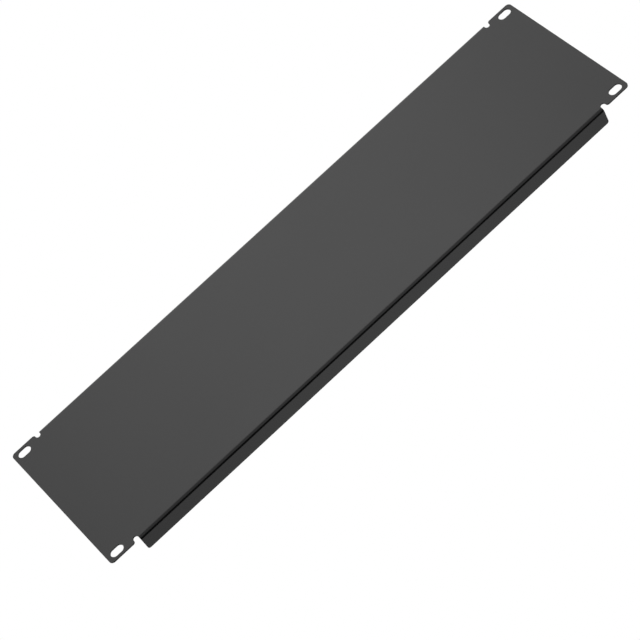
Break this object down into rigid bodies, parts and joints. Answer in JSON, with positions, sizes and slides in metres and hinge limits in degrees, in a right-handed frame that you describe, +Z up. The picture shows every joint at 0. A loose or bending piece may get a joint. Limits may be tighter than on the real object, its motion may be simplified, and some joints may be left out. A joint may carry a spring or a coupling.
{
  "type": "rack blanking panel",
  "caption": "Folded steel blanking panel for a 19 inch rack: flat front, return flanges along top and bottom, slotted ears and relief notches beside the folds.",
  "frame": {"origin": "centre of the four fixing slots, on the back face of the ears, where the panel bears on the rack's posts", "axes": "+X along the panel's width, to the right as seen from the front; +Y into the rack, so the front face looks along -Y; +Z up"},
  "size_m": [0.4826, 0.015, 0.1324],
  "materials": {
    "black_powder_coat": "smooth satin black powder coat on steel"
  },
  "bodies": {
    "root": {"blanking_panel": "black_powder_coat"}
  },
  "joints": []
}
